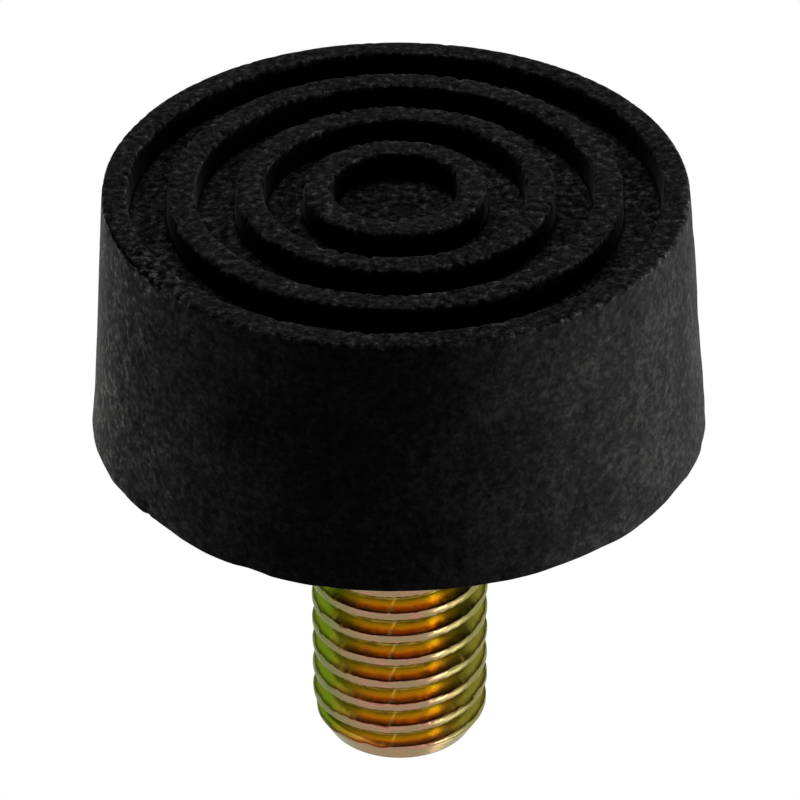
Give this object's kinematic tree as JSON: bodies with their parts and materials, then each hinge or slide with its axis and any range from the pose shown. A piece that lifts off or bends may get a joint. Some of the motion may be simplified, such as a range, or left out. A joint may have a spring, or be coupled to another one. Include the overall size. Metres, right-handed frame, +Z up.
{
  "type": "rubber foot",
  "caption": "Round moulded rubber foot, wider at its base, with a sole of round ribs and grooves and a threaded steel stud moulded in.",
  "frame": {"origin": "centre of the sole's plane, the face of the ribs that stands on the floor", "axes": "+Z up along the stud's axis, from the sole to the stud's point; two flats of the hidden hexagon head face +Y and -Y"},
  "size_m": [0.0268, 0.0268, 0.028],
  "materials": {
    "rubber": "moulded black rubber, matt, slightly dusty",
    "plated_steel": "zinc plated steel, yellow passivated, iridescent"
  },
  "bodies": {
    "root": {"rubber_foot": "rubber", "threaded_stud": "plated_steel"}
  },
  "joints": []
}
